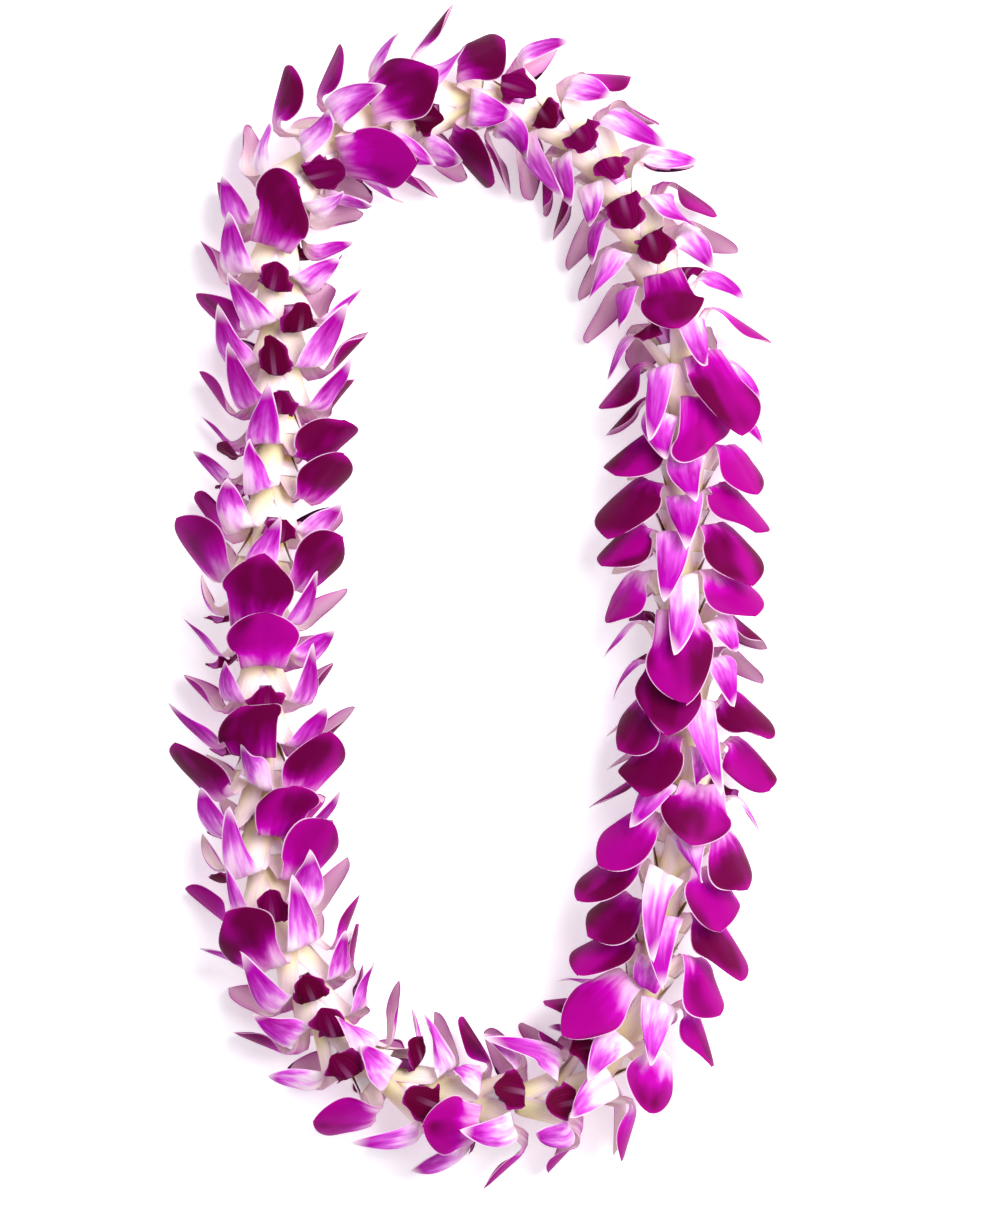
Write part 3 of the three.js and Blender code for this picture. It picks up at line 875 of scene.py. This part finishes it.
def tissueTree():             # two sheets round the middle surface, joined at the rim, pressed by the table
    tree = newTree("petalTissue", tissueInputs)
    nodes = Nodes(tree)
    given = nodes.add("NodeGroupInput")
    kind = nodes.stored("kind", "INT")
    along, across = nodes.stored("along"), nodes.stored("across")

    def isKind(number):
        settings = {"data_type": "INT", "operation": "EQUAL"}
        return nodes.add("FunctionNodeCompare", settings, {2: kind, 3: number})

    def moved(sheet, offset):
        return nodes.add("GeometryNodeSetPosition", {}, {0: sheet, "Offset": offset})

    faces = {0: given.out("Geometry"), 1: isKind(heartForm["kind"])}
    parts = nodes.add("GeometryNodeSeparateGeometry", {"domain": "FACE"}, faces)
    normal = nodes.add("GeometryNodeInputNormal")
    noise = nodes.add("ShaderNodeTexNoise", {"noise_dimensions": "4D"}, {
        "W": given.out("Seed") + nodes.stored("tone") * tissueDetail["seedPerTone"],
        "Scale": given.out("Ripple Scale"),
        "Detail": 1.0,
    })
    height = (noise - 0.5) * given.out("Ripple Height") * nodes.smooth(along, *tissueDetail["rippleSpan"])
    height = height * (tissueDetail["middleRipple"] + across * across)
    rippled = moved(parts.out("Inverted"), nodes.scaled(normal, height))
    sheets = []
    for direction in (0.5, -0.5):         # the front sheet, then the back one
        body = nodes.stored("flesh") * given.out("Thickness") * direction
        sheet = moved(rippled, nodes.scaled(normal, body))
        side = {0: sheet, "Name": "side", "Value": 2.0 * direction}
        settings = {"data_type": "FLOAT", "domain": "POINT"}
        sheet = nodes.add("GeometryNodeStoreNamedAttribute", settings, side)
        if direction < 0:
            sheet = nodes.add("GeometryNodeFlipFaces", {}, {0: sheet})
        sheets.append(sheet)
    blades = nodes.add("GeometryNodeJoinGeometry", {}, {0: sheets})
    weld = {0: blades, "Distance": tissueDetail["weld"] * millimetre}
    blades = nodes.add("GeometryNodeMergeByDistance", {}, weld)
    whole = nodes.add("GeometryNodeJoinGeometry", {}, {0: [blades, parts.out("Selection")]})

    place = nodes.add("ShaderNodeSeparateXYZ", {}, {0: nodes.add("GeometryNodeInputPosition")})
    lowered = place.out("Z") - resting["pressDepth"] * millimetre
    level = nodes.maths("MAXIMUM", lowered, given.out("Rest Height"))
    pressed = nodes.add("ShaderNodeCombineXYZ", {}, {0: place.out("X"), 1: place.out("Y"), 2: level})
    whole = nodes.add("GeometryNodeSetPosition", {}, {0: whole, "Position": pressed})
    whole = nodes.add("GeometryNodeSetShadeSmooth", {}, {0: whole})
    outermost = nodes.maths("MAXIMUM", across * across, along)
    rim = nodes.maths("GREATER_THAN", outermost, tissueDetail["rim"])
    sharp = {0: whole, "Selection": rim, "Shade Smooth": False}
    whole = nodes.add("GeometryNodeSetShadeSmooth", {"domain": "EDGE"}, sharp)
    whole = nodes.add("GeometryNodeRealizeInstances", {}, {0: whole})
    for number, material in enumerate(finishes):
        chosen = {0: whole, "Selection": isKind(number), "Material": material}
        whole = nodes.add("GeometryNodeSetMaterial", {}, chosen)
    nodes.add("NodeGroupOutput", {}, {0: whole})
    return tree


def grow(piece, tree, inputs):            # runs the tree and keeps its plain mesh
    modifier = piece.modifiers.new(tree.name, "NODES")
    modifier.node_group = tree
    for item in tree.interface.items_tree:
        if item.in_out == "INPUT" and item.name in inputs:
            modifier[item.identifier] = inputs[item.name]
    evaluated = piece.evaluated_get(bpy.context.evaluated_depsgraph_get())
    mesh = bpy.data.meshes.new_from_object(evaluated)
    piece.modifiers.remove(modifier)
    piece.data = mesh
    mesh.name = piece.name
    return piece


blossoms = {
    "rolls": [                # degrees that each is turned on the thread, from dorsal sepal up to outwards
        180, 140, -8, 15, 0, 4, -4, 3, -42, 15, 6, 46, 54, -3, -6,
        4, -6, -40, -34, 150, -56, 180, 172, 188, 180, 172, 195, -10, 160, -42,
        30, 150, 178, 52, 178, 150, 190, 170, -115, -120, 165, 2, -60, -68, 170,
        -52, 2, -78, -115, 180, -25, 180, 170, 195, 120, 180, -40, 160,
    ],
    "pale": 0.3,              # how much of a blossom is white, from 0 to 1
    "palePerTurn": 1.6,       # more where the strand bends, which opens the blossoms
    "paleSpread": 0.35,
}


def blossomSheets(k, station):            # its six blades and its heart
    opened = abs(station["turnAhead"]) * blossoms["palePerTurn"]
    difference = blossoms["paleSpread"] * draw(k, drawNumber["pale"])
    pale = float(np.clip(blossoms["pale"] + opened + difference, 0, 1))
    roll = blossoms["rolls"][k]
    sheets = []
    for n, (form, angle) in enumerate(bladeForms):
        turned = math.radians(roll + angle + spread["swing"] * draw(k, n + drawNumber["swing"]))
        change = changeOf(k, n, turned)
        sheets.append(bladeSheet(form, bladeSpine(form, turned, change), change, station, pale))
    sheets.append(heartSheet(math.radians(roll), drawTone(k, drawNumber["heartTone"]), pale))
    return sheets


corners = strandCorners()
tree = tissueTree()
for k in range(strand["blossomCount"]):
    station = stationAt(corners, k)
    sheets = blossomSheets(k, station)
    orchid = grow(sheetObject(f"orchid_{k + 1:02d}", sheets, station), tree, tissueInputs)
    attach(orchid, bodyName)
    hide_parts(f"blossom_{k + 1:02d}")
print("blossoms done:", strand["blossomCount"])

cord = {                      # the cotton thread through the blossoms, with its knot
    "plies": 3,
    "radius": 0.6,
    "turns": [[-0.8, 0.34], [0.65, -0.26]],           # place along and tilt of each turn of the knot
    "turnRadius": 1.2,
    "turnThread": 0.7,
    "turnSteps": 24,
    "tailThread": 0.54,
    "tailPoints": [[0.3, 0, 1], [0.6, -0.5, 2.6], [0.9, -1, 4.2]],
    "plySides": 6,
    "plyShare": 0.464,        # of the thread's radius: three plies that touch
    "plyOffset": 0.536,
}
cordInputs = {"Step": 0.9 * millimetre, "Twist Length": 5.4 * millimetre}


def cordPaths(corners):       # each path's points and radius, and whether it closes
    middle = (corners[-1] + corners[0]) / 2
    run = unit(corners[0] - corners[-1])
    across = np.array([-run[1], run[0], 0])
    paths = [([middle, *corners, middle], cord["radius"], False)]
    for offset, tilt in cord["turns"]:
        spoke = upwards * math.cos(tilt) + run * math.sin(tilt)
        ring = []
        for i in range(cord["turnSteps"]):
            t = 2 * math.pi * i / cord["turnSteps"]
            towards = spoke * math.cos(t) - across * math.sin(t)
            ring.append(middle + run * offset - cord["turnRadius"] * towards)
        paths.append((ring, cord["turnThread"], True))
    for side in (-1, 1):
        tail = [middle + run * side * x + np.array([0, y, z]) for x, y, z in cord["tailPoints"]]
        paths.append((tail, cord["tailThread"], False))
    return paths


def cordObject(name, corners):
    points, edges, sizes = [], [], []
    for path, radius, closes in cordPaths(corners):
        first = len(points)
        points.extend((np.array(path) * millimetre).tolist())
        sizes.extend([radius * millimetre] * len(path))
        edges.extend([i, i + 1] for i in range(first, len(points) - 1))
        if closes:
            edges.append([len(points) - 1, first])
    mesh = bpy.data.meshes.new(name)
    mesh.from_pydata(points, edges, [])
    mesh.attributes.new("size", "FLOAT", "POINT").data.foreach_set("value", sizes)
    return linked(name, mesh)


cottonLook = {
    "colour": paint(246, 242, 232), "shade": paint(206, 196, 178),
    "fibre": [6000.0, 4.0],
    "stain": [400.0, 2.0],
    "fibreSpan": [0.35, 0.7],
    "shadeBy": [0.4, 0.2],    # the fibres and the stains
    "roughness": [0.78, 0.2],
    "relief": [0.00008, 0.8],
}


def cottonFinish(name):       # off-white cotton with fine, darker fibres
    finish = Finish(name, {"Specular IOR Level": 0.2})
    fibre = finish.grain(*cottonLook["fibre"])
    stain = finish.grain(*cottonLook["stain"])
    byFibre, byStain = cottonLook["shadeBy"]
    shaded = finish.smooth(fibre, *cottonLook["fibreSpan"]) * byFibre + stain * byStain
    finish.connect("Base Color", finish.blend(shaded, cottonLook["colour"], cottonLook["shade"]))
    smoothest, rougher = cottonLook["roughness"]
    finish.connect("Roughness", smoothest + fibre * rougher)
    finish.emboss(fibre, *cottonLook["relief"])
    return finish.material


def cordTree(material):       # plies wound round each path
    tree = newTree("twistedCord", cordInputs)
    nodes = Nodes(tree)
    given = nodes.add("NodeGroupInput")
    size = nodes.stored("size")
    path = nodes.add("GeometryNodeMeshToCurve", {}, {0: given.out("Geometry")})
    steps = {"Curve": path, "Length": given.out("Step")}
    path = nodes.add("GeometryNodeResampleCurve", {"mode": "LENGTH"}, steps)
    normal = nodes.add("GeometryNodeInputNormal")
    sideways = nodes.vector("CROSS_PRODUCT", nodes.add("GeometryNodeInputTangent"), normal)
    place = nodes.add("GeometryNodeSplineParameter", output=1)
    circle = {"Resolution": cord["plySides"], "Radius": 1.0}
    section = nodes.add("GeometryNodeCurvePrimitiveCircle", {}, circle)
    plies = []
    for number in range(cord["plies"]):
        turn = (place / given.out("Twist Length") + number / cord["plies"]) * (2 * math.pi)
        outwards = nodes.scaled(normal, nodes.maths("COSINE", turn))
        outwards = nodes.vector("ADD", outwards, nodes.scaled(sideways, nodes.maths("SINE", turn)))
        wound = {0: path, "Offset": nodes.scaled(outwards, size * cord["plyOffset"])}
        plies.append(nodes.add("GeometryNodeCurveToMesh", {}, {
            "Curve": nodes.add("GeometryNodeSetPosition", {}, wound),
            "Profile Curve": section,
            "Scale": size * cord["plyShare"],
            "Fill Caps": True,
        }))
    whole = nodes.add("GeometryNodeJoinGeometry", {}, {0: plies})
    whole = nodes.add("GeometryNodeSetShadeSmooth", {}, {0: whole})
    whole = nodes.add("GeometryNodeRealizeInstances", {}, {0: whole})
    whole = nodes.add("GeometryNodeSetMaterial", {}, {0: whole, "Material": material})
    nodes.add("NodeGroupOutput", {}, {0: whole})
    return tree


thread = cordObject("stringingThread", corners)
thread = grow(thread, cordTree(cottonFinish("cottonSkin")), cordInputs)
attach(thread, bodyName)
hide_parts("thread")
print("thread done:", len(thread.data.polygons), "faces")

studio = {
    "floorSize": 3.0,
    "floorColour": (0.93, 0.925, 0.94, 1.0),
    "floorShade": paint(230, 230, 230),
    "floorSpeckle": [300.0, 2.0],
    "speckleShare": 0.02,
    "floorGlow": 0.4,
    "glowColour": (0.97, 0.96, 1.0, 1.0),
    "skyColour": (0.98, 0.97, 1.0, 1.0),
    "skyStrength": 0.56,
    "keyPower": 49.0,
    "keyPlace": (0.85, 0.5, 1.6),
    "keySize": 1.3,
    "cameraAim": (0.0114, -0.004),
    "cameraHeight": 3.0,      # above the thread
    "viewHeight": 0.504,      # what the picture spans at the thread's height
    "sensor": 36.0,
}


def makeFloor():
    size = studio["floorSize"]
    outline = [(-size, -size, 0), (size, -size, 0), (size, size, 0), (-size, size, 0)]
    mesh = bpy.data.meshes.new("floor")
    mesh.from_pydata(outline, [], [(0, 1, 2, 3)])
    floor = linked("floor", mesh)
    paper = Finish("floorPaper", {
        "Roughness": 0.9,
        "Specular IOR Level": 0.1,
        "Emission Color": studio["glowColour"],
        "Emission Strength": studio["floorGlow"],
    })
    speckle = paper.grain(*studio["floorSpeckle"]) * studio["speckleShare"]
    paper.connect("Base Color", paper.darken(speckle, studio["floorColour"], studio["floorShade"]))
    mesh.materials.append(paper.material)


def makeLights():             # an even sky and one large soft lamp
    world = bpy.data.worlds.new("studioSky")
    bpy.context.scene.world = world
    world.use_nodes = True
    background = world.node_tree.nodes["Background"]
    background.inputs["Color"].default_value = studio["skyColour"]
    background.inputs["Strength"].default_value = studio["skyStrength"]

    light = bpy.data.lights.new("softbox", "AREA")
    light.shape = "DISK"
    light.size = studio["keySize"]
    light.energy = studio["keyPower"]
    lamp = linked("softbox", light)
    lamp.location = studio["keyPlace"]
    lamp.rotation_mode = "QUATERNION"
    lamp.rotation_quaternion = (-lamp.location).to_track_quat("-Z", "Y")


def makeCamera():             # straight above the lei
    lens = bpy.data.cameras.new("camera")
    lens.sensor_width = studio["sensor"]
    lens.lens = studio["sensor"] * studio["cameraHeight"] / studio["viewHeight"]
    camera = linked("camera", lens)
    aimHeight = strand["threadHeight"] * millimetre
    camera.location = (*studio["cameraAim"], aimHeight + studio["cameraHeight"])
    bpy.context.scene.camera = camera
    bpy.context.scene.view_settings.view_transform = "Standard"


makeFloor()
makeLights()
makeCamera()
print("studio done")
